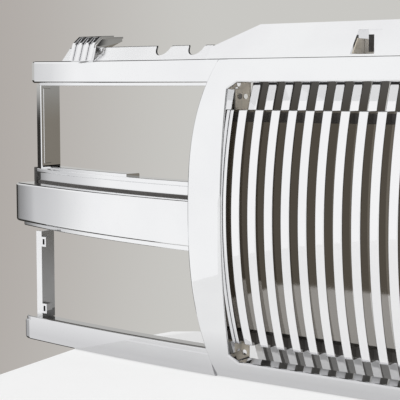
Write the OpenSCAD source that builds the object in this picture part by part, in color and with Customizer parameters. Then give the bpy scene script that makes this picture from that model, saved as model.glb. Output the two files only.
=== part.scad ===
// Front grille with a finned centre and two lamp wings, in millimetres.
// +X is to the side, the front faces -Y, +Z is up; the lowest edge stands at Z = 0.

/* [Surround] */
// Height of the surround from its lowest edge to the top of the top rail
surround_h = 397; // [390:1:405]
// Half width of the fin opening
opening_half_w = 409; // [407:0.5:412]
// Height of the bottom rail
bottom_rail_h = 23; // [20:1:26]
// Height of the top rail
top_rail_h = 29; // [26:1:32]
// Side-view radius of the bowed front face of the surround
surround_bow_r = 810; // [780:10:840]
// Widest reach of the side arches from the centre
arch_reach = 457.5; // [455:0.5:460]
// Reach of the side arches at the top edge
arch_top_reach = 426; // [424:0.5:430]
// Wall thickness of the plated mouldings
wall = 3; // [2.5:0.1:3.5]
// Front-to-back depth of the surround channels
surround_depth = 34; // [30:1:38]

/* [Fins] */
// Number of fins
fin_count = 35; // [33:2:35]
// Spacing of the fins
fin_pitch = 23; // [22.5:0.1:23]
// Thickness of a fin at its front
fin_w = 12; // [10:0.5:13]
// Side-view radius of the front edge of a fin
fin_bow_r = 446; // [440:2:460]
// Front-to-back depth of a fin at mid height
fin_depth = 42; // [40:1:46]
// How far the end parts of a fin are set back
fin_step = 20; // [18:1:22]
// Height of the lower step above the lowest edge
fin_low_step = 42; // [40:1:44]
// Height of the upper step above the lowest edge
fin_high_step = 335; // [332:1:337]

/* [Wings] */
// Height of the middle bar's lower edge
mid_low = 165; // [162:1:168]
// Height of the middle bar's upper edge
mid_high = 222; // [219:1:225]
// Height of a lower bar
lower_bar_h = 34; // [32:1:36]
// Depth of an upper post
post_depth = 42; // [38:1:46]
// Width of a post face
post_w = 10; // [9:0.5:12]

/* [Flanges] */
// Height of the centre flange's top edge
flange_top = 439; // [436:1:442]
// Height of a wing flange's top edge
wing_flange_top = 415; // [413:1:418]
// Radius of the round notches in a wing flange
notch_r = 12.5; // [11:0.5:13]
// Radius of the screw holes in the corner plates
screw_hole_r = 3.5; // [3:0.1:4]

/* [Hidden] */
$fn = 96;
mid_z = 210;
front_y = -6;
y_shift = 71.2;
bow_c_y = front_y + surround_bow_r;
fin_half = (fin_count - 1) / 2;
surround_back = 12 + surround_depth;
// Y and Z of the cross rails behind the fins, lower one first.
rail_y = [42, 31];
rail_z = [44, 320];
// Corner plates: screw bosses, plate feet and screw holes.
boss_x = 426;
boss_z = [25, 350];
plate_z = [7, 333];
hole_x = 405;
hole_z = [29, 351];
// Centre flange: lean, Y of its foot, middle and width of a pocket.
flange_lean = 0.78;
flange_y = 18;
pocket_x = 234.5;
pocket_w = 35;
// Wings: depth of a bar, top of the sill and top of an upper post.
bar_depth = 36;
sill_top = mid_high + 24.5;
post_top = surround_h - top_rail_h - 4;
fin_names = [for (i = [0:fin_count - 1]) str("fin_", i + 1 < 10 ? "0" : "", i + 1)];
sides = ["left", "right"];
// Plan arcs of the wing bars: start X, start Y, start angle, radius, sweep angle.
upper_arc = [426, 15, 5, 1803, 11.93];
mid_arc = [457.5, -5, 7.4, 1560, 14.5];
lower_arc = [441, 18, 1.7, 2509, 7.9];

// Flat disc that bounds a bowed front edge, in side view.
module bow(c_y, r) {
  translate([c_y, mid_z]) circle(r = r, $fn = 256);
}

// Side-view band between two heights, from the front to a given depth.
module band(z0, z1, y_back) {
  translate([-60, z0]) square([y_back + 60, z1 - z0]);
}

// Extrudes a side-view shape from one X to another.
module along_x(x0, x1) {
  translate([x0, 0, 0]) rotate([90, 0, 90]) linear_extrude(x1 - x0) children();
}

// Draws a shape as made for the right side, on the named side.
module on_side(side) {
  if (side == "left") mirror([1, 0, 0]) children();
  else children();
}

// Reach of a side arch from the centre at a given height, less a margin.
function arch_x(z, margin) =
  let (d = z - 212)
  arch_reach - margin - (d > 0 ? (arch_reach - arch_top_reach) * pow(d / 185, 3.3) : 25 * pow(-d / 212, 3));

// Front-view outline of everything inside the side arches.
module arch_outline(x0, z0, z1, margin) {
  steps = 32;
  edge = [for (i = [0:steps]) let (z = z0 + (z1 - z0) * i / steps) [arch_x(z, margin), z]];
  polygon(concat([[x0, z0]], edge, [[x0, z1]]));
}

// Extrudes a front-view shape through the whole depth.
module through_y(y0, y1) {
  translate([0, y1, 0]) rotate([90, 0, 0]) linear_extrude(y1 - y0) children();
}

// Straight rail channel, open at the back, with a bowed front face.
module rail_channel(z0, z1) {
  along_x(-opening_half_w, opening_half_w) difference() {
    intersection() {
      bow(bow_c_y, surround_bow_r);
      band(z0, z1, surround_back);
    }
    intersection() {
      bow(bow_c_y, surround_bow_r - wall);
      band(z0 + wall, z1 - wall, surround_back + 10);
    }
  }
}

module top_rail() {
  color([0.86, 0.87, 0.88]) rail_channel(surround_h - top_rail_h, surround_h);
}

module bottom_rail() {
  color([0.86, 0.87, 0.88]) rail_channel(0, bottom_rail_h);
}

// Crescent side member: bowed front, curved outer edge, open back, two screw bosses.
module arch(side) {
  color([0.88, 0.89, 0.9]) on_side(side) {
    difference() {
      intersection() {
        along_x(opening_half_w, arch_reach + 5) intersection() {
          bow(bow_c_y, surround_bow_r);
          band(0, surround_h, surround_back);
        }
        through_y(-60, 100) arch_outline(opening_half_w, 0, surround_h, 0);
      }
      intersection() {
        along_x(opening_half_w + wall, arch_reach + 5) intersection() {
          bow(bow_c_y, surround_bow_r - wall);
          band(wall, surround_h - wall, surround_back + 10);
        }
        through_y(-60, 100) arch_outline(opening_half_w + wall, wall, surround_h - wall, wall);
      }
    }
    for (z = boss_z) difference() {
      intersection() {
        translate([boss_x, surround_back, z]) rotate([90, 0, 0]) cylinder(r = 5.5, h = 60);
        along_x(0, 500) intersection() {
          bow(bow_c_y, surround_bow_r - wall + 0.5);
          band(0, surround_h, surround_back);
        }
      }
      translate([boss_x, surround_back + 1, z]) rotate([90, 0, 0]) cylinder(r = 2, h = 14);
    }
  }
}

// Front face of the leaning flange at a given height, in Y.
function flange_front(z) = flange_y + (z - surround_h) * flange_lean;

module flange_plate(x0, x1) {
  along_x(x0, x1) polygon([
    [flange_front(surround_h), surround_h],
    [flange_front(surround_h) + 4, surround_h],
    [flange_front(flange_top) + 4, flange_top],
    [flange_front(flange_top), flange_top]]);
}

// Side-view shape of a pocket box, shrunk by a margin.
module pocket_side(margin) {
  z0 = surround_h + margin;
  z1 = flange_top - 8 - margin;
  polygon([
    [flange_front(z0) - 3 * margin, z0],
    [58 - margin, z0],
    [58 - margin, z1],
    [flange_front(z1) - 3 * margin, z1]]);
}

module centre_flange() {
  color([0.84, 0.85, 0.87]) difference() {
    union() {
      intersection() {
        flange_plate(-444.5, 444.5);
        through_y(-20, 120) polygon([
          [-444.5, surround_h], [444.5, surround_h], [444.5, wing_flange_top - 3],
          [386, flange_top], [-386, flange_top], [-444.5, wing_flange_top - 3]]);
      }
      for (m = [0, 1]) mirror([m, 0, 0]) along_x(pocket_x - pocket_w / 2, pocket_x + pocket_w / 2) pocket_side(0);
    }
    for (m = [0, 1]) mirror([m, 0, 0]) {
      along_x(pocket_x - pocket_w / 2 + 2.5, pocket_x + pocket_w / 2 - 2.5) pocket_side(2.5);
      translate([pocket_x + 1.5, 50, surround_h + 6]) cube([7, 20, 20]);
    }
  }
}

// Centre of a plan arc given as [start X, start Y, start angle, radius, sweep].
function arc_c(a) = [a[0] - a[3] * sin(a[2]), a[1] + a[3] * cos(a[2])];

// Sweeps a section (radius, height) along a plan arc between two angles from its start.
module sweep_arc(a, from, to) {
  translate([arc_c(a)[0], arc_c(a)[1], 0]) rotate([0, 0, a[2] + from - 90])
    rotate_extrude(angle = to - from, $fn = 256) children();
}

// Cuts away everything inside the side arch.
module outside_arch() {
  difference() {
    children();
    through_y(-80, 220) arch_outline(0, -20, surround_h + 20, 0);
  }
}

// Wing bar swept from the arch to its closed outer end: the first child is its whole section, the second its hollow.
module wing_bar(side, a, cap) {
  color([0.87, 0.88, 0.89]) on_side(side) outside_arch() difference() {
    sweep_arc(a, -1, a[4]) children(0);
    sweep_arc(a, -1.5, a[4] - cap) children(1);
  }
}

module upper_bar(side) {
  r = upper_arc[3];
  z0 = surround_h - top_rail_h;
  wing_bar(side, upper_arc, 0.1) {
    polygon([
      [r, z0], [r, surround_h], [r - bar_depth, surround_h], [r - bar_depth, z0 - 4], [r - 8, z0 - 4], [r - 8, z0]]);
    translate([r - bar_depth - 1, z0 + wall]) square([bar_depth + 1 - wall, top_rail_h - 2 * wall]);
  }
}

module middle_bar(side) {
  r = mid_arc[3];
  back = r - bar_depth;
  wing_bar(side, mid_arc, 0.12) {
    polygon([
      [r, mid_low], [r, mid_high], [r - 34, mid_high + 4], [r - 34, mid_high],
      [back, mid_high], [back, mid_low - 8], [r - 14, mid_low - 8], [r - 14, mid_low]]);
    polygon([
      [r - wall, mid_low + wall], [r - wall, mid_high - wall], [back - 1, mid_high - wall],
      [back - 1, mid_low + wall - 8], [r - 14 - wall, mid_low + wall - 8], [r - 14 - wall, mid_low + wall]]);
  }
}

module lower_bar(side) {
  r = lower_arc[3];
  wing_bar(side, lower_arc, 0.08) {
    polygon([
      [r, 0], [r, lower_bar_h], [r - 4, lower_bar_h], [r - 4, lower_bar_h - 4],
      [r - bar_depth, lower_bar_h - 4], [r - bar_depth, 0]]);
    translate([r - bar_depth - 1, wall]) square([bar_depth + 1 - wall, lower_bar_h - 4 - 2 * wall]);
  }
}

// Strip behind the middle bar's top face: upright web, forward lip and a raised outer part.
module sill(side) {
  r = mid_arc[3] - bar_depth;
  z = mid_high;
  color([0.85, 0.86, 0.87]) on_side(side) outside_arch() {
    sweep_arc(mid_arc, -2, mid_arc[4]) polygon([
      [r - 22, z + 14], [r - wall, z + 14], [r - wall, z - 8], [r, z - 8], [r, z + 14],
      [r + 3, z + 14], [r + 3, z + 20.5], [r - 22, z + 20.5]]);
    sweep_arc(mid_arc, 5.5, mid_arc[4] - 0.7)
      translate([r - 21, z + 16]) square([23.5, sill_top - z - 16]);
  }
}

module upper_post(side) {
  color([0.85, 0.86, 0.88]) on_side(side) difference() {
    translate([780, 90, sill_top]) cube([post_w, post_depth, post_top - sill_top]);
    translate([783, 93, sill_top + wall]) cube([post_w, post_depth, post_top - sill_top - 2 * wall]);
  }
}

// Upright bracket with two square snap loops on its inner side.
module lower_post(side) {
  z0 = lower_bar_h - 4;
  z1 = mid_low - 8;
  color([0.85, 0.86, 0.88]) on_side(side) {
    translate([757, 62, z0]) cube([3, 27, z1 - z0]);
    translate([760, 62, z0]) cube([7, 3, z1 - z0]);
    for (z = [z0 + 8, z1 - 22]) translate([749, 62, z]) difference() {
      cube([8, 12, 14]);
      translate([2.5, -1, 3]) cube([3.5, 14, 8]);
    }
  }
}

// Leaning strip on an upper bar, with two round notches open at the top.
module wing_flange(side) {
  r = upper_arc[3];
  color([0.84, 0.85, 0.87]) on_side(side) difference() {
    sweep_arc(upper_arc, 0.66, 9.54) polygon([
      [r - 3, surround_h], [r - 17, wing_flange_top], [r - 20, wing_flange_top], [r - 6.5, surround_h]]);
    for (x = [470, 526]) through_y(-20, 120) translate([x, wing_flange_top - 0.5]) circle(r = notch_r);
  }
}

// Ribbed hook on a wing flange: four ribs, a curved head and a tab to the rear.
module top_clip(side) {
  y0 = 55;
  z0 = surround_h;
  color([0.9, 0.9, 0.9]) on_side(side) difference() {
    union() {
      for (i = [0:3]) along_x(650 + 11.5 * i, 653.5 + 11.5 * i) clip_rib(y0, z0);
      along_x(650, 688) polygon([
        [y0 + 15, z0 + 24], [y0 + 21, z0 + 34], [y0 + 32, z0 + 39], [y0 + 46, z0 + 40], [y0 + 64, z0 + 39],
        [y0 + 64, z0 + 35.5], [y0 + 36, z0 + 35], [y0 + 26, z0 + 31], [y0 + 19, z0 + 22]]);
    }
    sweep_arc(upper_arc, 0, 11) translate([upper_arc[3] - 20.5, 0])
      polygon([[0, wing_flange_top], [3.6, wing_flange_top], [17.6, surround_h], [14, surround_h]]);
  }
}

// Side view of one rib of the hook.
module clip_rib(y0, z0) {
  polygon([
    [y0 - 9, z0], [y0 + 9, z0 + 20], [y0 + 20, z0 + 34], [y0 + 34, z0 + 38], [y0 + 58, z0 + 38],
    [y0 + 40, z0 + 24], [y0 + 18, z0 + 14], [y0 + 2, z0]]);
}

// Side view of a fin, shrunk from its front by a margin.
module fin_side(margin) {
  intersection() {
    bow(fin_bow_r, fin_bow_r - margin);
    band(fin_low_step + margin, fin_high_step - margin, 160);
  }
  intersection() {
    bow(fin_bow_r, fin_bow_r - fin_step - margin);
    band(8 + margin, 372 - margin, 160);
  }
}

module fin(i) {
  x = (i - fin_half) * fin_pitch;
  color([0.9, 0.9, 0.91]) difference() {
    along_x(x - fin_w / 2, x + fin_w / 2) difference() {
      fin_side(0);
      bow(fin_bow_r, fin_bow_r - fin_depth);
    }
    along_x(x - fin_w / 2 + 2, x + fin_w / 2 - 2) fin_side(2.5);
    for (k = [0, 1]) translate([x - fin_w, rail_y[k], rail_z[k]]) cube([2 * fin_w, 18, 12]);
  }
}

module insert_rail(k) {
  color([0.25, 0.24, 0.22]) translate([-408.5, rail_y[k], rail_z[k]]) cube([817, 18, 12]);
}

module insert_upper_rail() { insert_rail(1); }

module insert_lower_rail() { insert_rail(0); }

// Two end blades of the fin set, each with corner plates that screw to the back of an arch.
module insert_sides() {
  color([0.74, 0.7, 0.62]) for (m = [0, 1]) mirror([m, 0, 0]) difference() {
    union() {
      along_x(404, opening_half_w - 0.1) difference() {
        intersection() {
          bow(fin_bow_r, fin_bow_r);
          band(fin_low_step, fin_high_step, 160);
        }
        bow(fin_bow_r, fin_bow_r - fin_depth);
      }
      for (z = plate_z) translate([398.5, surround_back, z]) cube([33.5, 3, 36]);
    }
    for (k = [0, 1]) {
      translate([390, rail_y[k], rail_z[k]]) cube([20, 18, 12]);
      translate([hole_x, surround_back - 1, hole_z[k]]) rotate([-90, 0, 0])
        cylinder(r = screw_hole_r, h = 5);
      translate([boss_x, surround_back - 1, boss_z[k]]) rotate([-90, 0, 0]) cylinder(r = 2, h = 5);
    }
  }
}

module corner_screws() {
  color([0.5, 0.5, 0.52]) for (m = [0, 1]) mirror([m, 0, 0]) for (k = [0, 1])
    translate([boss_x, surround_back - 10, boss_z[k]]) rotate([-90, 0, 0]) {
      cylinder(r = 2, h = 13);
      translate([0, 0, 13]) difference() {
        cylinder(r = 5, h = 3);
        translate([-4, -0.5, 1.8]) cube([8, 1, 2]);
        translate([-0.5, -4, 1.8]) cube([1, 8, 2]);
      }
    }
}

translate([0, -y_shift, 0]) {
  top_rail();
  bottom_rail();
  centre_flange();
  insert_upper_rail();
  insert_lower_rail();
  insert_sides();
  corner_screws();
  for (s = sides) {
    arch(s);
    wing_flange(s);
    upper_bar(s);
    middle_bar(s);
    lower_bar(s);
    sill(s);
    upper_post(s);
    lower_post(s);
    top_clip(s);
  }
  for (i = [0:fin_count - 1]) fin(i);
}
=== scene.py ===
"""Looks of the plated front grille: smooth shells for the surround, wings, flanges, fins and clips, in metres."""
import math

import bmesh
import bpy
import numpy as np
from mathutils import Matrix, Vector


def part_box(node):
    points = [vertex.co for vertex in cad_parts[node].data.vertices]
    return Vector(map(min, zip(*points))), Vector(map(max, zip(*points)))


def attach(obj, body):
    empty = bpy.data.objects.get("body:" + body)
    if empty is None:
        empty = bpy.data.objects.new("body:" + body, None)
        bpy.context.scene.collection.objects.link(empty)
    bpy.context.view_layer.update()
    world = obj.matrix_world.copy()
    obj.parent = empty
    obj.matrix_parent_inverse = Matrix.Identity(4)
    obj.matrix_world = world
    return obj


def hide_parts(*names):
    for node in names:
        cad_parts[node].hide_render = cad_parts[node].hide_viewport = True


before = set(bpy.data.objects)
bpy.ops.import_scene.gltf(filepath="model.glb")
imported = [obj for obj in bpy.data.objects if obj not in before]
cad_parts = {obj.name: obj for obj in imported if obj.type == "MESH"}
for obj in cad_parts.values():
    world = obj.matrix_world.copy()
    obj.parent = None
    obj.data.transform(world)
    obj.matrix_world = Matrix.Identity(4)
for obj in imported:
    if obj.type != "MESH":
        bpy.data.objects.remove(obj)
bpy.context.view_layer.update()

MM = 0.001
SIDES = {"left": -1.0, "right": 1.0}

# Levels and reaches taken from the frame.
TOP_LOW, TOP_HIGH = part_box("top_rail")
LOW_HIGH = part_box("bottom_rail")[1]
ARCH_LOW, ARCH_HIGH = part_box("arch_right")
FRONT_Y = ARCH_LOW.y
BACK_Y = ARCH_HIGH.y
HALF_OPENING = TOP_HIGH.x
REACH = ARCH_HIGH.x
MID_Z = 210 * MM
Y0 = FRONT_Y + 6 * MM

# Plan arcs of the wing bars: centre X, centre Y and front radius.
UPPER_ARC = (268.9 * MM, Y0 + 1811.1 * MM, 1803 * MM)
MIDDLE_ARC = (256.6 * MM, Y0 + 1542.0 * MM, 1560 * MM)
LOWER_ARC = (366.6 * MM, Y0 + 2525.9 * MM, 2509 * MM)


# ---------------------------------------------------------------- shapes

def bow(z, radius, centre_y):
    """Front-to-back place of a bowed face at height z: centre less the root of radius squared less height squared."""
    return centre_y - np.sqrt(radius ** 2 - (z - MID_Z) ** 2)


def surround_face(z):
    """Front face of the surround, bowed at 810 mm about mid height."""
    return bow(z, 810 * MM, FRONT_Y + 810 * MM)


def arch_reach(z):
    """Outer edge of an arch: widest near mid height, drawn in by a power curve above and below."""
    d = (z - 212 * MM) / MM
    above = 31.5 * np.clip(d / 185, 0, None) ** 3.3
    below = 25 * np.clip(-d / 212, 0, None) ** 3
    return REACH - (above + below) * MM


def edge_roll(d, radius):
    """Set-back of a rolled edge at distance d from it: a quarter circle of that radius, nothing further in."""
    k = np.clip(radius - d, 0, radius)
    return radius - np.sqrt(np.clip(radius ** 2 - k ** 2, 0, None))


def rounded(corners, radii, steps=6, hold=0.4 * MM):
    """An open line through corners (..., K, 2) with its inner corners replaced by arcs of the given radii.
    Each arc runs between the two tangent points, and a point just outside each end keeps the flats flat."""
    p, a, b = corners[..., 1:-1, :], corners[..., :-2, :], corners[..., 2:, :]
    u = (a - p) / np.linalg.norm(a - p, axis=-1, keepdims=True)
    v = (b - p) / np.linalg.norm(b - p, axis=-1, keepdims=True)
    half = np.arccos(np.clip((u * v).sum(-1), -1, 1)) / 2
    r = np.broadcast_to(radii, half.shape)
    reach = (r / np.tan(half))[..., None]
    mid = u + v
    centre = p + mid / np.linalg.norm(mid, axis=-1, keepdims=True) * (r / np.sin(half))[..., None]
    start, end = p + u * reach - centre, p + v * reach - centre
    turn = (math.pi - 2 * half)[..., None, None]
    s = np.linspace(0, 1, steps + 1)[:, None]
    arc = (np.sin((1 - s) * turn) * start[..., None, :] + np.sin(s * turn) * end[..., None, :]) / np.sin(turn)
    arc = centre[..., None, :] + arc
    before_arc = (p + u * (reach + hold))[..., None, :]
    after_arc = (p + v * (reach + hold))[..., None, :]
    pieces = np.concatenate([before_arc, arc, after_arc], axis=-2)
    flat = pieces.reshape(*pieces.shape[:-3], -1, 2)
    return np.concatenate([corners[..., :1, :], flat, corners[..., -1:, :]], axis=-2)


def grid_faces(rows, cols, wrap=False):
    """Four-sided faces of a rows by cols grid of points, joined round in the second direction if wrap."""
    i = np.arange(rows * cols).reshape(rows, cols)
    if wrap:
        i = np.concatenate([i, i[:, :1]], axis=1)
    return np.stack([i[:-1, :-1], i[1:, :-1], i[1:, 1:], i[:-1, 1:]], -1).reshape(-1, 4)


def strip(a, b):
    """Faces between two equal rows of point numbers."""
    return np.stack([a[:-1], a[1:], b[1:], b[:-1]], -1)


def zip_cap(row):
    """Faces that close a row of an even number of points by joining each to its opposite."""
    n = len(row) // 2
    return strip(row[:n], row[::-1][:n])


def trough(outer, inner, shut=(True, True)):
    """Closed wall between an outer and an inner grid of the same size (stations, section, 3), open at the back.
    The two long edges are joined along the rim, and each end is closed or joined as a rim."""
    n, m = outer.shape[:2]
    points = np.concatenate([outer.reshape(-1, 3), inner.reshape(-1, 3)])
    o = np.arange(n * m).reshape(n, m)
    i = o + n * m
    faces = [grid_faces(n, m), grid_faces(n, m) + n * m, strip(o[:, 0], i[:, 0]), strip(o[:, -1], i[:, -1])]
    for row, closed in ((0, shut[0]), (-1, shut[1])):
        if closed:
            faces += [zip_cap(o[row]), zip_cap(i[row]),
                      np.array([[o[row, 0], o[row, -1], i[row, -1], i[row, 0]]])]
        else:
            faces.append(strip(o[row], i[row]))
    return points, np.concatenate(faces)


def bar(loop):
    """Closed solid from a grid of closed sections (stations, section, 3), each end zipped shut."""
    n, m = loop.shape[:2]
    o = np.arange(n * m).reshape(n, m)
    return loop.reshape(-1, 3), np.concatenate([grid_faces(n, m, wrap=True), zip_cap(o[0]), zip_cap(o[-1])])


def closed_round(corners, radii, steps=4, hold=0.2 * MM):
    """A closed line through corners with every corner rounded, as an even number of points."""
    first = (corners[..., :1, :] + corners[..., -1:, :]) / 2
    line = rounded(np.concatenate([first, corners, first], axis=-2), radii, steps, hold)[..., :-1, :]
    if line.shape[-2] % 2:
        extra = (line[..., -1:, :] + line[..., :1, :]) / 2
        line = np.concatenate([line, extra], axis=-2)
    return line


def piece(name, parts, material, nodes, mirror=1.0, sharp=38):
    """Joins closed shells into one mesh, turns its faces outwards, and hands it to the frame."""
    points, faces, base = [], [], 0
    for p, f in parts:
        points.append(p)
        faces.append(f + base)
        base += len(p)
    points, faces = np.concatenate(points), np.concatenate(faces)
    points = points * np.array([mirror, 1, 1])
    mesh = bpy.data.meshes.new(name)
    mesh.vertices.add(len(points))
    mesh.vertices.foreach_set("co", points.astype(np.float32).ravel())
    mesh.loops.add(faces.size)
    mesh.loops.foreach_set("vertex_index", faces.astype(np.int32).ravel())
    mesh.polygons.add(len(faces))
    mesh.polygons.foreach_set("loop_start", np.arange(0, faces.size, 4, dtype=np.int32))
    mesh.update(calc_edges=True)
    mesh.validate()
    tidy = bmesh.new()
    tidy.from_mesh(mesh)
    bmesh.ops.remove_doubles(tidy, verts=tidy.verts, dist=1e-6)
    bmesh.ops.dissolve_degenerate(tidy, edges=tidy.edges, dist=1e-7)
    bmesh.ops.recalc_face_normals(tidy, faces=tidy.faces)
    tidy.to_mesh(mesh)
    tidy.free()
    mesh.shade_smooth()
    mesh.set_sharp_from_angle(angle=math.radians(sharp))
    mesh.materials.append(material)
    obj = bpy.data.objects.new(name, mesh)
    bpy.context.scene.collection.objects.link(obj)
    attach(obj, "root")
    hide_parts(*nodes)
    return obj


# ---------------------------------------------------------------- surround

def rail(z0, z1, inner_edge):
    """Straight rail: a bowed face between two heights carried from one arch to the other.
    Its edge on the opening side drops over the last 14 mm at each end, which chamfers the inner corners."""
    ends = np.array([0, 1, 2, 4, 7, 10, 14, 15, 60, 200]) * MM
    x = np.concatenate([-HALF_OPENING - 2 * MM + ends, [0], (HALF_OPENING + 2 * MM - ends)[::-1]])
    gap = HALF_OPENING - np.abs(x)
    drop = 8.5 * MM * np.clip(1 - gap / (13 * MM), 0, 1)
    low = z0 - (drop if inner_edge == "low" else 0) + 0 * x
    high = z1 + (drop if inner_edge == "high" else 0) + 0 * x

    def section(wall, radius):
        a, b = low + wall, high - wall
        back = np.full_like(x, BACK_Y)
        fronts = surround_face(a) + wall, surround_face(b) + wall
        corners = np.stack([np.stack([back, a], -1), np.stack([fronts[0], a], -1),
                            np.stack([fronts[1], b], -1), np.stack([back, b], -1)], 1)
        line = rounded(corners, radius, 7)
        return np.concatenate([np.broadcast_to(x[:, None, None], line.shape[:2] + (1,)), line], -1)

    return trough(section(0, 3.2 * MM), section(3 * MM, 0.8 * MM), (False, False))


def arch():
    """Crescent side member: at each height a three-sided section from the opening to the curved reach,
    its front on the bow and its two front edges rounded, its top and bottom edges rolled."""
    height = ARCH_HIGH.z
    roll = np.array([0, 0.15, 0.5, 1.0, 1.7, 2.5, 3.3, 3.8]) * MM
    z = np.concatenate([roll, np.linspace(6 * MM, height - 6 * MM, 90), (height - roll)[::-1]])

    def section(wall, radius, levels):
        set_back = edge_roll(np.minimum(z, height - z), 3.2 * MM) if wall == 0 else 0
        front = surround_face(levels) + wall + set_back
        inner = np.full_like(levels, HALF_OPENING + wall)
        outer = arch_reach(levels) - wall
        back = np.full_like(levels, BACK_Y)
        corners = np.stack([np.stack([inner, back], -1), np.stack([inner, front], -1),
                            np.stack([outer, front], -1), np.stack([outer, back], -1)], 1)
        line = rounded(corners, radius, 8)
        return np.concatenate([line, np.broadcast_to(levels[:, None, None], line.shape[:2] + (1,))], -1)

    inside = np.clip(z, 3 * MM, height - 3 * MM) + np.linspace(-1, 1, len(z)) * 0.01 * MM
    return trough(section(0, np.array([4.0, 3.4]) * MM, z), section(3 * MM, 0.8 * MM, inside))


def boss(x, z):
    """Round screw boss standing inside an arch: a ring section turned about the screw's line,
    as long as the room behind the arch's face allows."""
    reach = (surround_face(z) + 5 * MM - BACK_Y) / MM
    turn = np.linspace(0, 2 * math.pi, 32, endpoint=False)
    line = np.array([[2, 0], [5.3, 0], [5.5, -0.3], [5.5, reach], [2, reach]]) * MM
    out, back = line[:, 0], line[:, 1]
    ring = np.stack([np.outer(np.cos(turn), out), back + 0 * turn[:, None], np.outer(np.sin(turn), out)], -1)
    points = (ring + np.array([x, BACK_Y, z])).reshape(-1, 3)
    return points, grid_faces(len(turn) + 1, len(line), wrap=True) % len(points)


# ---------------------------------------------------------------- wings

def on_arc(arc, depth, z, share, end_angle, start=None):
    """Points on a plan arc: each runs from the arch's outer face (or a given start angle) to the end angle.
    X = centre + (radius - depth) sin angle, Y = centre - (radius - depth) cos angle."""
    cx, cy, radius = arc
    r = radius - depth
    if start is None:
        first = np.arcsin((arch_reach(z) - 1.5 * MM - cx) / r)
    else:
        first = np.radians(start) + 0 * r
    angle = first + share * (np.radians(end_angle) - first)
    return np.stack([cx + r * np.sin(angle), cy - r * np.cos(angle), z], -1)


def end_fall(d, reach=11 * MM, slope=0.21, roll=2 * MM):
    """Set-back of a wing bar's front at distance d from its outer end: a sloping facet over the last 11 mm,
    then a quarter circle of 2 mm."""
    return slope * np.clip(reach - d, 0, None) + edge_roll(d, roll)


def wing_stations(length, reach=11 * MM, roll=2 * MM):
    """Shares of the way along a wing bar: wide apart, then close about the facet's edge and over the rolled end."""
    about = reach + np.array([1, 0.4, -0.4, -1]) * MM
    near = np.concatenate([[60 * MM, 20 * MM], about, [6 * MM, 4 * MM, 3 * MM],
                           roll * (1 - np.sin(np.linspace(0, math.pi / 2, 7)))])
    return np.concatenate([np.linspace(0, 1 - 70 * MM / length, 44), 1 - near / length])


def wing_shell(arc, end_angle, z0, z1, depth, wall=3 * MM, rise=(0.0, 0.0)):
    """Open-backed bar on a plan arc with rounded front edges, a sloping facet at its outer end and 4 mm corners.
    Its lower and upper edges rise towards the outer end by a square law."""
    length = arc[2] * math.radians(end_angle) * 0.75
    share = wing_stations(length)
    inset = end_fall((1 - share) * length)
    pinch = edge_roll((1 - share) * length, 4 * MM)

    def section(w, radius, along, e):
        narrow = pinch if w == 0 else 0
        a, b = z0 + w + narrow + rise[0] * along ** 2, z1 - w - narrow + rise[1] * along ** 2
        front, back = w + e, depth + 0 * e
        corners = np.stack([np.stack([back, a], -1), np.stack([front, a], -1),
                            np.stack([front, b], -1), np.stack([back, b], -1)], 1)
        line = rounded(corners, radius, 7)
        return on_arc(arc, line[..., 0], line[..., 1], along[:, None], end_angle=end_angle)

    outer = section(0, np.maximum(3.6 * MM - 0.5 * pinch, 0.15 * MM)[:, None], share, inset)
    inner = section(wall, 0.8 * MM, share * (1 - wall / length), 0.8 * inset)
    return trough(outer, inner, (False, True))


def wing_strip(arc, corners, radius, end_angle, start=None, stations=60, roll=1.5 * MM, rise=0.0, facet=False):
    """Solid strip of a rounded section (depth, height) carried along a plan arc, its outer end rolled in.
    With a facet it falls back at its outer end along with the bar it lies on."""
    corners = np.array(corners) * MM
    middle = corners.mean(0)
    length = arc[2] * math.radians(end_angle) * 0.75
    share = np.concatenate([np.linspace(0, 1 - 16 * MM / length, stations),
                            1 - np.array([11.4, 10.6, 6.0, 3.0]) * MM / length,
                            1 - roll / length * (1 - np.sin(np.linspace(0, math.pi / 2, 6)))])
    inset = edge_roll((1 - share) * length, roll)[:, None, None]
    way = middle - corners
    moved = corners + inset * np.sign(way) * (np.abs(way) > roll * 1.2)
    line = closed_round(moved, np.maximum(radius * MM - inset[..., 0], 0.08 * MM), 4, 0.15 * MM)
    lift = rise * share[:, None] ** 2
    fall = end_fall((1 - share[:, None]) * length) if facet else 0
    return bar(on_arc(arc, line[..., 0] + fall, line[..., 1] + lift, share[:, None], end_angle, start))


def upright(section, low, high):
    """Upright of one rounded plan section (x, y) between two heights, its ends eased in by 0.6 mm."""
    ease = np.array([0, 0.2, 0.6, 0.9, 1.6]) * MM
    z = np.concatenate([low + ease, high - ease[::-1]])
    inset = edge_roll(np.minimum(z - low, high - z), 0.6 * MM)[:, None, None]
    middle = section.mean(0)
    line = section + inset * np.sign(middle - section)
    return bar(np.concatenate([line, np.broadcast_to(z[:, None, None], line.shape[:2] + (1,))], -1))


def outline_plate(outline, x0, x1, radius=0.6 * MM):
    """Plate of a rounded side outline (y, z) between two X places, its faces eased at the rim."""
    line = closed_round(np.array(outline) * MM, radius, 3, 0.1 * MM)
    middle = line.mean(0)
    ease = np.array([0, 0.15, 0.5, 0.8]) * MM
    x = np.concatenate([x0 + ease, x1 - ease[::-1]])
    inset = edge_roll(np.minimum(x - x0, x1 - x), 0.5 * MM)[:, None, None]
    way = (middle - line) / np.linalg.norm(middle - line, axis=-1, keepdims=True)
    moved = line + inset * way
    return bar(np.concatenate([np.broadcast_to(x[:, None, None], moved.shape[:2] + (1,)), moved], -1))


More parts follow.
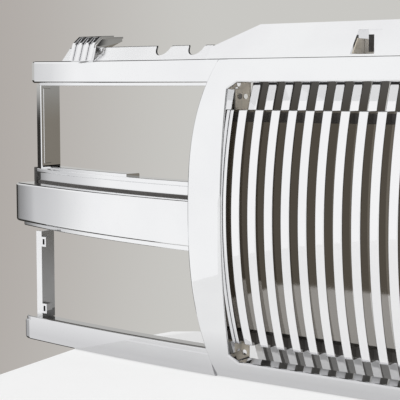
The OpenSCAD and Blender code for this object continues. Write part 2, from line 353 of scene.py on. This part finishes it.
def ribbon(path, thickness, x0, x1, steps=10):
    """Bent strip: a rounded side line (y, z) given a thickness across its own direction, between two X places."""
    line = rounded(np.array(path) * MM, 6 * MM, steps, 0.3 * MM)
    along = np.gradient(line, axis=0)
    across = np.stack([along[:, 1], -along[:, 0]], -1) / np.linalg.norm(along, axis=1, keepdims=True)
    h, e = thickness / 2, min(0.5 * MM, thickness / 4)
    offsets = np.array([[x0 + e, -h], [x1 - e, -h], [x1, -h + e], [x1, h - e],
                        [x1 - e, h], [x0 + e, h], [x0, h - e], [x0, -h + e]])
    points = line[:, None, :] + across[:, None, :] * offsets[None, :, 1:2]
    return bar(np.concatenate([np.broadcast_to(offsets[None, :, :1], points.shape[:2] + (1,)), points], -1))


def wing_rim():
    """Leaning strip on the upper bar: a bottom edge on the bar and a top edge cut by two round notches,
    with a front and a back face 3 mm apart, carried along the upper arc and rising to its outer end."""
    cx, cy, radius = UPPER_ARC
    radius_notch, notches = 12.5 * MM, (470 * MM, 526 * MM)
    ends = np.degrees(np.arcsin((444.7 * MM - cx) / (radius - 5 * MM))), 14.54
    spots = [np.linspace(*ends, 90)]
    for x in notches:
        middle = np.degrees(np.arcsin((x - cx) / (radius - 17 * MM)))
        half = np.degrees(radius_notch / radius)
        spots.append(middle + half * np.cos(np.linspace(0, math.pi, 31)))
        spots.append(np.array([middle - half * 1.001, middle + half * 1.001]))
    angle = np.radians(np.unique(np.concatenate(spots)))
    share = (angle - angle[0]) / (angle[-1] - angle[0])
    x_top = cx + (radius - 17 * MM) * np.sin(angle)
    top = 415 * MM + 2.6 * MM * share
    cut = np.zeros_like(top)
    for x in notches:
        cut = np.maximum(cut, np.sqrt(np.clip(radius_notch ** 2 - (x_top - x) ** 2, 0, None)))
    top = top - cut
    base = 396.5 * MM + 2.2 * MM * share
    lean = 14.0 / 18.0
    up = np.array([0, 0.93, 0.975, 1.0, 1.0, 0.975, 0.93, 0])
    back = np.array([0, 0, 0, 0.5, 2.5, 3, 3, 3]) * MM
    z = base[:, None] + up * (top - base)[:, None]
    depth = 3 * MM + (z - base[:, None]) * lean + back
    a = angle[:, None]
    loop = np.stack([cx + (radius - depth) * np.sin(a), cy - (radius - depth) * np.cos(a), z], -1)
    return bar(loop)


# ---------------------------------------------------------------- fins

def blade(x0, x1, front_round, wall, steps=True):
    """Bowed blade: at each height a three-sided section, its front on the big bow between the two steps
    and on the smaller bow beyond them, its back on a third bow, all about one centre."""
    centre = Y0 + 446 * MM
    low, step_low, step_high, top = 8 * MM, 42 * MM, 335 * MM, 372 * MM
    ease = np.array([0, 0.15, 0.5, 1.0, 1.7]) * MM
    main = np.concatenate([step_low + ease, np.linspace(step_low + 4 * MM, step_high - 4 * MM, 56),
                           step_high - ease[::-1]])
    main_y = bow(main, 446 * MM, centre) + edge_roll(np.minimum(main - step_low, step_high - main), 1.5 * MM)
    if steps:
        under = np.concatenate([low + ease, np.linspace(low + 3 * MM, step_low - 0.02 * MM, 7)])
        over = np.concatenate([np.linspace(step_high + 0.02 * MM, top - 3 * MM, 7), top - ease[::-1]])
        z = np.concatenate([under, main, over])
        y = np.concatenate([bow(under, 426 * MM, centre) + edge_roll(under - low, 1.5 * MM), main_y,
                            bow(over, 426 * MM, centre) + edge_roll(top - over, 1.5 * MM)])
    else:
        z, y = main, main_y
    back = bow(z, 404 * MM, centre)

    def section(w, radius, front, levels):
        one = np.ones_like(levels)
        corners = np.stack([np.stack([(x0 + w) * one, back], -1), np.stack([(x0 + w) * one, front], -1),
                            np.stack([(x1 - w) * one, front], -1), np.stack([(x1 - w) * one, back], -1)], 1)
        line = rounded(corners, radius, 6, 0.2 * MM)
        return np.concatenate([line, np.broadcast_to(levels[:, None, None], line.shape[:2] + (1,))], -1)

    inside = np.clip(z, z[0] + wall, z[-1] - wall) + np.linspace(-1, 1, len(z)) * 0.01 * MM
    return trough(section(0, front_round, y, z), section(wall, 0.3 * MM, y + wall + 0.4 * MM, inside))


def corner_plate(z0, z1, hole_z):
    """Screw plate behind an inner corner: a square-to-circle grid round the screw hole, 3 mm thick."""
    x0, x1, hole_x = 398.5 * MM, 432 * MM, 405 * MM
    turn = np.linspace(0, 2 * math.pi, 64, endpoint=False) + math.pi / 64
    c, s = np.cos(turn), np.sin(turn)
    reach = np.minimum(np.where(c > 0, x1 - hole_x, hole_x - x0) / np.abs(c),
                       np.where(s > 0, z1 - hole_z, hole_z - z0) / np.abs(s))
    rings = [(3.5, 0.4, 0), (3.9, 0, 0), (None, 0, -0.4), (None, 0.4, 0),
             (None, 2.6, 0), (None, 3, -0.4), (3.9, 3, 0), (3.5, 2.6, 0)]
    loops = []
    for radius, depth, pull in rings:
        r = radius * MM if radius else reach + pull * MM
        loops.append(np.stack([hole_x + r * c, BACK_Y + depth * MM + 0 * c, hole_z + r * s], -1))
    grid = np.stack(loops, 1)
    n, m = grid.shape[:2]
    wrapped = grid_faces(n + 1, m, wrap=True) % (n * m)
    return grid.reshape(-1, 3), wrapped


# ---------------------------------------------------------------- materials

def socket(group, name, kind, way, value=None):
    """Adds a named input or output to a node group."""
    s = group.interface.new_socket(name=name, in_out=way, socket_type=kind)
    if value is not None:
        s.default_value = value
    return s


def surface_group():
    """Shared surface: patchy colour between two tones, roughness that varies with smudges and fine scratches,
    and a small height of slow ripple and fine grain. Outputs Color, Roughness and Height."""
    g = bpy.data.node_groups.new("moulded_surface", "ShaderNodeTree")
    for name, kind, value in (("Tone", "NodeSocketColor", (0.8, 0.8, 0.8, 1)),
                              ("Second Tone", "NodeSocketColor", (0.7, 0.7, 0.7, 1)),
                              ("Patch Scale", "NodeSocketFloat", 14.0), ("Smooth", "NodeSocketFloat", 0.03),
                              ("Rough", "NodeSocketFloat", 0.1), ("Grain Scale", "NodeSocketFloat", 900.0),
                              ("Grain", "NodeSocketFloat", 0.2), ("Ripple", "NodeSocketFloat", 0.5)):
        socket(g, name, kind, "INPUT", value)
    for name, kind in (("Color", "NodeSocketColor"), ("Roughness", "NodeSocketFloat"), ("Height", "NodeSocketFloat")):
        socket(g, name, kind, "OUTPUT")
    n, l = g.nodes, g.links
    gin, gout = n.new("NodeGroupInput"), n.new("NodeGroupOutput")
    place = n.new("ShaderNodeTexCoord").outputs["Object"]

    def noise(scale, detail=3.0, stretch=None):
        t = n.new("ShaderNodeTexNoise")
        t.inputs["Detail"].default_value = detail
        source = place
        if stretch:
            m = n.new("ShaderNodeMapping")
            m.inputs["Scale"].default_value = stretch
            l.new(place, m.inputs["Vector"])
            source = m.outputs["Vector"]
        l.new(source, t.inputs["Vector"])
        if isinstance(scale, (int, float)):
            t.inputs["Scale"].default_value = scale
        else:
            l.new(scale, t.inputs["Scale"])
        return t.outputs["Fac"]

    def math_node(op, a, b, c=None):
        m = n.new("ShaderNodeMath")
        m.operation = op
        for k, v in enumerate((a, b, c)):
            if v is None:
                continue
            if isinstance(v, (int, float)):
                m.inputs[k].default_value = v
            else:
                l.new(v, m.inputs[k])
        return m.outputs[0]

    def spread(value, low, high):
        m = n.new("ShaderNodeMapRange")
        m.inputs["From Min"].default_value, m.inputs["From Max"].default_value = low, high
        l.new(value, m.inputs["Value"])
        return m.outputs["Result"]

    patch = spread(noise(gin.outputs["Patch Scale"], 4.0), 0.35, 0.7)
    mix = n.new("ShaderNodeMix")
    mix.data_type = "RGBA"
    l.new(patch, mix.inputs["Factor"])
    l.new(gin.outputs["Tone"], mix.inputs["A"])
    l.new(gin.outputs["Second Tone"], mix.inputs["B"])
    l.new(mix.outputs["Result"], gout.inputs["Color"])
    smudge = spread(noise(9.0, 5.0), 0.4, 0.75)
    scratch = spread(noise(120.0, 2.0, (1.0, 1.0, 14.0)), 0.62, 0.78)
    worn = math_node("MAXIMUM", smudge, math_node("MULTIPLY", scratch, 0.45))
    span = math_node("SUBTRACT", gin.outputs["Rough"], gin.outputs["Smooth"])
    l.new(math_node("MULTIPLY_ADD", worn, span, gin.outputs["Smooth"]), gout.inputs["Roughness"])
    slow = math_node("MULTIPLY", noise(26.0, 1.0), gin.outputs["Ripple"])
    fine = math_node("MULTIPLY", noise(gin.outputs["Grain Scale"], 2.0), gin.outputs["Grain"])
    l.new(math_node("ADD", slow, fine), gout.inputs["Height"])
    return g


SURFACE = surface_group()


def finish(name, tone, second, smooth, rough, metal, bump, patch=14.0, grain_scale=900.0, grain=0.1, ripple=0.6,
           painted_side_shade=None, painted_low_shade=None, coat=0.0):
    """A finish: the shared surface, with two options. A painted side shade colours faces turned to the side with
    painted reflection and shade, darker below 42 mm and above 333 mm, and lets the lowest 40 mm be partly non-metal.
    A painted low shade darkens the lowest 60 mm with painted shade."""
    m = bpy.data.materials.new(name)
    m.use_nodes = True
    n, l = m.node_tree.nodes, m.node_tree.links
    n.clear()
    out, shader = n.new("ShaderNodeOutputMaterial"), n.new("ShaderNodeBsdfPrincipled")
    l.new(shader.outputs["BSDF"], out.inputs["Surface"])
    s = n.new("ShaderNodeGroup")
    s.node_tree = SURFACE
    for key, value in (("Tone", (*tone, 1)), ("Second Tone", (*second, 1)), ("Patch Scale", patch), ("Smooth", smooth),
                       ("Rough", rough), ("Grain Scale", grain_scale), ("Grain", grain), ("Ripple", ripple)):
        s.inputs[key].default_value = value
    colour = s.outputs["Color"]
    # Painted reflection and shade: faces turned to the side take a darker colour, darker still below 42 mm and above
    # 333 mm.
    if painted_side_shade:
        geo, parts, size = n.new("ShaderNodeNewGeometry"), n.new("ShaderNodeSeparateXYZ"), n.new("ShaderNodeMath")
        size.operation = "ABSOLUTE"
        ramp, mix = n.new("ShaderNodeMapRange"), n.new("ShaderNodeMix")
        mix.data_type = "RGBA"
        ramp.inputs["From Min"].default_value, ramp.inputs["From Max"].default_value = 0.75, 0.97
        l.new(geo.outputs["Normal"], parts.inputs[0])
        l.new(parts.outputs["X"], size.inputs[0])
        l.new(size.outputs[0], ramp.inputs["Value"])
        l.new(ramp.outputs["Result"], mix.inputs["Factor"])
        l.new(colour, mix.inputs["A"])
        place, where, curve = n.new("ShaderNodeTexCoord"), n.new("ShaderNodeSeparateXYZ"), n.new("ShaderNodeValToRGB")
        l.new(place.outputs["Object"], where.inputs[0])
        height = n.new("ShaderNodeMath")
        height.operation = "MULTIPLY"
        height.inputs[1].default_value = 2.5
        l.new(where.outputs["Z"], height.inputs[0])
        l.new(height.outputs[0], curve.inputs["Fac"])
        curve.color_ramp.interpolation = "CONSTANT"
        dark = tuple(0.42 * c for c in painted_side_shade)
        for k, (at, tone_here) in enumerate(((0.0, dark), (0.105, painted_side_shade), (0.8325, dark))):
            stop = curve.color_ramp.elements[k] if k < 2 else curve.color_ramp.elements.new(at)
            stop.position, stop.color = at, (*tone_here, 1)
        l.new(curve.outputs["Color"], mix.inputs["B"])
        colour = mix.outputs["Result"]
        metal_ramp = n.new("ShaderNodeMapRange")
        metal_ramp.inputs["From Min"].default_value, metal_ramp.inputs["From Max"].default_value = 0.04, 0.042
        metal_ramp.inputs["To Min"].default_value = 0.35
        l.new(where.outputs["Z"], metal_ramp.inputs["Value"])
        l.new(metal_ramp.outputs["Result"], shader.inputs["Metallic"])
    # Painted shade: the lowest 60 mm fade to a darker grey towards the floor.
    if painted_low_shade:
        place, parts = n.new("ShaderNodeTexCoord"), n.new("ShaderNodeSeparateXYZ")
        ramp, mix = n.new("ShaderNodeMapRange"), n.new("ShaderNodeMix")
        mix.data_type = "RGBA"
        ramp.inputs["From Min"].default_value, ramp.inputs["From Max"].default_value = 0.01, 0.06
        l.new(place.outputs["Object"], parts.inputs[0])
        l.new(parts.outputs["Z"], ramp.inputs["Value"])
        l.new(ramp.outputs["Result"], mix.inputs["Factor"])
        mix.inputs["A"].default_value = (*painted_low_shade, 1)
        l.new(colour, mix.inputs["B"])
        colour = mix.outputs["Result"]
    l.new(colour, shader.inputs["Base Color"])
    l.new(s.outputs["Roughness"], shader.inputs["Roughness"])
    b = n.new("ShaderNodeBump")
    b.inputs["Strength"].default_value = bump
    b.inputs["Distance"].default_value = 0.0004
    l.new(s.outputs["Height"], b.inputs["Height"])
    l.new(b.outputs["Normal"], shader.inputs["Normal"])
    shader.inputs["Metallic"].default_value = metal
    shader.inputs["Coat Weight"].default_value = coat
    return m


# The bright plating carries painted shade on its lowest 60 mm.
PLATE = finish("bright_plating", (0.88, 0.885, 0.89), (0.85, 0.855, 0.865), 0.02, 0.07, 1.0, 0.12,
               painted_low_shade=(0.6, 0.6, 0.61))
# The fin plating carries painted reflection and shade on its side faces.
FIN_PLATE = finish("fin_plating", (0.9, 0.9, 0.905), (0.87, 0.87, 0.88), 0.02, 0.08, 1.0, 0.1,
                   painted_side_shade=(0.57, 0.555, 0.535))
FLANGE_PLATE = finish("flange_plating", (0.86, 0.865, 0.87), (0.82, 0.82, 0.83), 0.05, 0.16, 1.0, 0.15)
RIM_PLATE = finish("rim_plating", (0.86, 0.865, 0.87), (0.82, 0.82, 0.83), 0.16, 0.3, 1.0, 0.15)
# The bracket plating carries painted shade on its side faces.
BRACKET_PLATE = finish("bracket_plating", (0.86, 0.865, 0.87), (0.8, 0.8, 0.81), 0.3, 0.45, 1.0, 0.15,
                       painted_side_shade=(0.36, 0.36, 0.36))
# Dark moulding: real dark plastic for the insert rails, and painted shadow for the dark strips on the lower bars and
# sills.
DARK_PLASTIC_AND_PAINTED_SHADOW = finish("dark_moulding_and_painted_shadow", (0.035, 0.032, 0.03), (0.055, 0.05, 0.045), 0.3, 0.55, 0.0, 0.35, grain=0.6)
PALE_PLASTIC = finish("pale_moulding", (0.62, 0.56, 0.46), (0.5, 0.45, 0.37), 0.2, 0.4, 0.0, 0.3, grain=0.5)
CLIP_PLATE = finish("clip_plating", (0.88, 0.88, 0.88), (0.84, 0.84, 0.85), 0.03, 0.1, 1.0, 0.15)
SCREW_STEEL = finish("screw_steel", (0.5, 0.5, 0.51), (0.4, 0.4, 0.42), 0.25, 0.45, 1.0, 0.3, grain=0.6)

# ---------------------------------------------------------------- build

z_top = (TOP_LOW.z, TOP_HIGH.z)
piece("top_rail_shell", [rail(z_top[0], z_top[1], "low")], PLATE, ["top_rail"])
piece("bottom_rail_shell", [rail(0.0, LOW_HIGH.z, "high")], PLATE, ["bottom_rail"])

for side, m in SIDES.items():
    piece(f"arch_shell_{side}", [arch(), boss(426 * MM, 25 * MM), boss(426 * MM, 350 * MM)], PLATE,
          [f"arch_{side}"], m)
    z0, z1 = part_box(f"upper_bar_{side}")[0].z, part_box(f"upper_bar_{side}")[1].z
    piece(f"upper_bar_shell_{side}", [
        wing_shell(UPPER_ARC, 17.03, z1 - 29 * MM, z1, 36 * MM, rise=(1.0 * MM, 3.2 * MM)),
        wing_strip(UPPER_ARC, [[8, 364], [8, 369], [36, 369], [36, 364]], 0.8, 16.7, rise=1.0 * MM)],
        PLATE, [f"upper_bar_{side}"], m)
    piece(f"middle_bar_shell_{side}", [
        wing_shell(MIDDLE_ARC, 21.87, 165 * MM, 222 * MM, 36 * MM),
        wing_strip(MIDDLE_ARC, [[14, 157], [14, 166.5], [36, 166.5], [36, 157]], 1.5, 21.83)],
        PLATE, [f"middle_bar_{side}"], m)
    piece(f"lower_bar_shell_{side}", [
        wing_shell(LOWER_ARC, 9.57, 0.0, 30.2 * MM, 36 * MM),
        wing_strip(LOWER_ARC, [[0.3, 26], [0.3, 34], [4, 34], [4, 26]], 1.2, 9.5, facet=True)],
        PLATE, [f"lower_bar_{side}"], m)
    piece(f"sill_shell_{side}", [
        wing_strip(MIDDLE_ARC, [[36, 214], [36, 240], [39, 240], [39, 214]], 0.5, 21.85),
        wing_strip(MIDDLE_ARC, [[33, 236], [33, 242.5], [58, 242.5], [58, 236]], 1.4, 21.85),
        wing_strip(MIDDLE_ARC, [[34, 238], [34, 246.5], [57, 246.5], [57, 238]], 1.4, 21.1, start=12.9)],
        PLATE, [f"sill_{side}"], m)

    # Painted shadow: two dark strips on top of the lower bar stand in for the shade behind its front lip.
    piece(f"lower_bar_painted_shadow_{side}", [
        wing_strip(LOWER_ARC, [[7, 29.6], [7, 30.9], [11.5, 30.9], [11.5, 29.6]], 0.4, 9.1),
        wing_strip(LOWER_ARC, [[16, 29.6], [16, 30.9], [18.5, 30.9], [18.5, 29.6]], 0.4, 9.0)],
        DARK_PLASTIC_AND_PAINTED_SHADOW, [f"lower_bar_{side}"], m)
    # Painted shadow: dark strips stand in for the shade in the sill's groove and at its outer end.
    piece(f"sill_painted_shadow_{side}", [
        wing_strip(MIDDLE_ARC, [[34.4, 221], [34.4, 224.8], [36.4, 224.8], [36.4, 221]], 0.5, 21.8),
        wing_strip(MIDDLE_ARC, [[32.4, 222], [32.4, 243.4], [41, 243.4], [41, 222]], 0.8, 21.87,
                   start=21.6, stations=6)],
        DARK_PLASTIC_AND_PAINTED_SHADOW, [f"sill_{side}"], m)
    piece(f"wing_rim_{side}", [wing_rim()], RIM_PLATE, [f"wing_flange_{side}"], m)
    place = np.array([0, Y0])
    post = closed_round(np.array([[780, 90], [796, 99], [796, 102], [783.5, 95.5], [783, 132], [780, 132]]) * MM
                        + place, np.array([1.2, 0.8, 0.6, 0.6, 0.6, 0.6]) * MM, 4)
    panel = closed_round(np.array([[779.4, 96], [781, 96], [781, 111], [779.4, 111]]) * MM + place, 0.4 * MM, 3)
    foot_block = np.array([[780, 93], [790, 98], [790, 131], [780, 131]]) * MM + place
    piece(f"upper_post_shell_{side}", [
        upright(post, 244 * MM, 367.5 * MM), upright(panel, 252 * MM, 361 * MM),
        upright(foot_block, 246 * MM, 249.5 * MM)],
        PLATE, [f"upper_post_{side}"], m)
    foot = Y0 / MM
    y0, z0 = foot + 55, 397
    ribs = [ribbon([[y0 - 7.6, z0 + 1.6], [y0 + 0.5, z0 + 24], [y0 + 14, z0 + 33.5], [y0 + 42, z0 + 35]],
                   3 * MM, (650 + 11.5 * i) * MM, (654.6 + 11.5 * i) * MM) for i in range(4)]
    head = ribbon([[y0 - 4, z0 + 1], [y0 + 3.5, z0 + 22], [y0 + 16, z0 + 31.8], [y0 + 63.5, z0 + 34.5]],
                  2.4 * MM, 650.5 * MM, 688.8 * MM)
    cheek = outline_plate([[y0 + 5, z0 + 20], [y0 + 17, z0 + 31], [y0 + 62, z0 + 33.5], [y0 + 62, z0 + 29.5],
                           [y0 + 30, z0 + 18]], 650.8 * MM, 653.4 * MM)
    backing = outline_plate([[foot + 58.1, 401], [foot + 59.4, 401], [foot + 59.4, 424], [foot + 58.1, 424]],
                            233 * MM, 246 * MM, 0.3 * MM)
    piece(f"pocket_backing_{side}", [backing], DARK_PLASTIC_AND_PAINTED_SHADOW, [], m)
    wall = outline_plate([[foot + 26, 400.3], [foot + 55, 400.3], [foot + 55, 418.5], [foot + 40, 418.5]],
                         248.6 * MM, 249.8 * MM, 0.3 * MM)
    piece(f"pocket_liner_{side}", [wall], PALE_PLASTIC, [], m)
    piece(f"top_clip_shell_{side}", ribs + [head, cheek], CLIP_PLATE, [f"top_clip_{side}"], m)

for number in range(1, 36):
    node = f"fin_{number:02d}"
    low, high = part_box(node)
    piece(f"{node}_shell", [blade(low.x, high.x, 1.7 * MM, 2 * MM)], FIN_PLATE, [node])

for side, m in SIDES.items():
    piece(f"end_blade_{side}", [blade(404 * MM, 408.7 * MM, 1.2 * MM, 1.2 * MM, steps=False)], FIN_PLATE,
          ["insert_sides"], m)
    piece(f"corner_plates_{side}", [
        corner_plate(7 * MM, 43 * MM, 29 * MM), corner_plate(333 * MM, 369 * MM, 351 * MM)],
          PALE_PLASTIC, ["insert_sides"], m)

kept = {"centre_flange": FLANGE_PLATE, "insert_upper_rail": DARK_PLASTIC_AND_PAINTED_SHADOW, "insert_lower_rail": DARK_PLASTIC_AND_PAINTED_SHADOW,
        "corner_screws": SCREW_STEEL}
for side in SIDES:
    kept[f"lower_post_{side}"] = BRACKET_PLATE
for name, material in kept.items():
    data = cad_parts[name].data
    data.materials.clear()
    data.materials.append(material)

# ---------------------------------------------------------------- stage

def flat_plate(name, outline, z, tone):
    """Level stage plate with the given outline, in a pale matt finish."""
    mesh = bpy.data.meshes.new(name)
    mesh.from_pydata([(x, y, z) for x, y in outline], [], [tuple(range(len(outline)))])
    m = finish(f"{name}_paint", tone, tuple(0.97 * c for c in tone), 0.6, 0.8, 0.0, 0.05)
    shader = next(x for x in m.node_tree.nodes if x.type == "BSDF_PRINCIPLED")
    shader.inputs["Emission Color"].default_value = (1, 1, 1, 1)
    shader.inputs["Emission Strength"].default_value = 0.6
    shader.inputs["Specular IOR Level"].default_value = 0.1
    mesh.materials.append(m)
    obj = bpy.data.objects.new(name, mesh)
    bpy.context.scene.collection.objects.link(obj)
    return obj


TABLE_TONE = (0.25, 0.25, 0.25)
TABLE_Z = -0.6 * MM
flat_plate("table_top", [(-0.353, -3.6), (3.2, -3.6), (3.2, 0.57), (-0.6, 0.162), (-0.633, 0.139), (-0.679, -0.028)],
           TABLE_Z, TABLE_TONE)
far = flat_plate("table_far", [(-0.68, 0.0), (-0.6, 0.162), (3.2, 0.57), (3.2, 0.6), (-0.68, 0.6)],
                 TABLE_Z, TABLE_TONE)
far.visible_camera = False


def studio():
    """Soft studio surround by direction: white in front, dark high at the back, pale grey low at the back above
    the horizon and brown below it; seen directly it is a plain grey backdrop that lightens to one side."""
    world = bpy.data.worlds.new("studio")
    bpy.context.scene.world = world
    world.use_nodes = True
    n, l = world.node_tree.nodes, world.node_tree.links
    n.clear()
    out, glow = n.new("ShaderNodeOutputWorld"), n.new("ShaderNodeBackground")
    l.new(glow.outputs[0], out.inputs[0])
    coord, parts = n.new("ShaderNodeTexCoord"), n.new("ShaderNodeSeparateXYZ")
    l.new(coord.outputs["Generated"], parts.inputs[0])

    def ramp(axis, a, b):
        m = n.new("ShaderNodeMapRange")
        m.interpolation_type = "SMOOTHSTEP"
        m.inputs["From Min"].default_value, m.inputs["From Max"].default_value = a, b
        l.new(parts.outputs[axis], m.inputs["Value"])
        return m.outputs["Result"]

    def mix(f, a, b):
        m = n.new("ShaderNodeMix")
        m.data_type = "RGBA"
        l.new(f, m.inputs["Factor"])
        for key, v in (("A", a), ("B", b)):
            if isinstance(v, tuple):
                m.inputs[key].default_value = (*v, 1)
            else:
                l.new(v, m.inputs[key])
        return m.outputs["Result"]

    low = mix(ramp("X", -0.72, -0.58), (0.035, 0.033, 0.03), (0.22, 0.2, 0.17))
    high = mix(ramp("X", -0.3, 0.3), (0.55, 0.545, 0.53), (0.3, 0.295, 0.28))
    back = mix(ramp("Z", -0.03, 0.01), low, high)
    back = mix(ramp("Z", 0.2, 0.35), back, (0.035, 0.035, 0.035))
    front = mix(ramp("X", -0.995, -0.91), (0.6, 0.6, 0.61), (1.0, 1.0, 1.005))
    front = mix(ramp("X", 0.9, 0.97), front, (0.16, 0.16, 0.17))
    # The line between front and back moves back for directions that look up.
    over = n.new("ShaderNodeMath")
    over.operation = "MULTIPLY_ADD"
    l.new(ramp("Z", 0.1, 0.4), over.inputs[0])
    over.inputs[1].default_value = -0.27
    l.new(parts.outputs["Y"], over.inputs[2])
    edge = n.new("ShaderNodeMapRange")
    edge.interpolation_type = "SMOOTHSTEP"
    edge.inputs["From Min"].default_value, edge.inputs["From Max"].default_value = -0.16, -0.03
    l.new(over.outputs[0], edge.inputs["Value"])
    around = mix(edge.outputs["Result"], front, back)
    seen = mix(ramp("X", -0.72, -0.54), (0.425, 0.395, 0.372), (0.585, 0.578, 0.553))
    path = n.new("ShaderNodeLightPath")
    l.new(mix(path.outputs["Is Camera Ray"], around, seen), glow.inputs["Color"])


studio()


def softbox(name, place, target, size, power):
    """Square soft light at a place, turned to its target."""
    data = bpy.data.lights.new(name, "AREA")
    data.size, data.energy = size, power
    obj = bpy.data.objects.new(name, data)
    bpy.context.scene.collection.objects.link(obj)
    obj.location = place
    obj.visible_glossy = False
    obj.rotation_euler = (Vector(target) - Vector(place)).to_track_quat("-Z", "Y").to_euler()
    return obj


softbox("top_softbox", (-0.6, -1.6, 2.6), (0, 0, 0.1), 2.2, 55)

# ---------------------------------------------------------------- camera

lens = bpy.data.cameras.new("camera")
lens.lens, lens.sensor_width = 103.18, 36.0
lens.clip_start, lens.clip_end = 0.05, 60
camera = bpy.data.objects.new("camera", lens)
bpy.context.scene.collection.objects.link(camera)
camera.location = (342.08 * MM, Y0 - 1167.31 * MM, 359.59 * MM)
camera.rotation_euler = (math.radians(90 - 5.51), 0, math.radians(33.87))
bpy.context.scene.camera = camera
bpy.context.scene.view_settings.view_transform = "Standard"
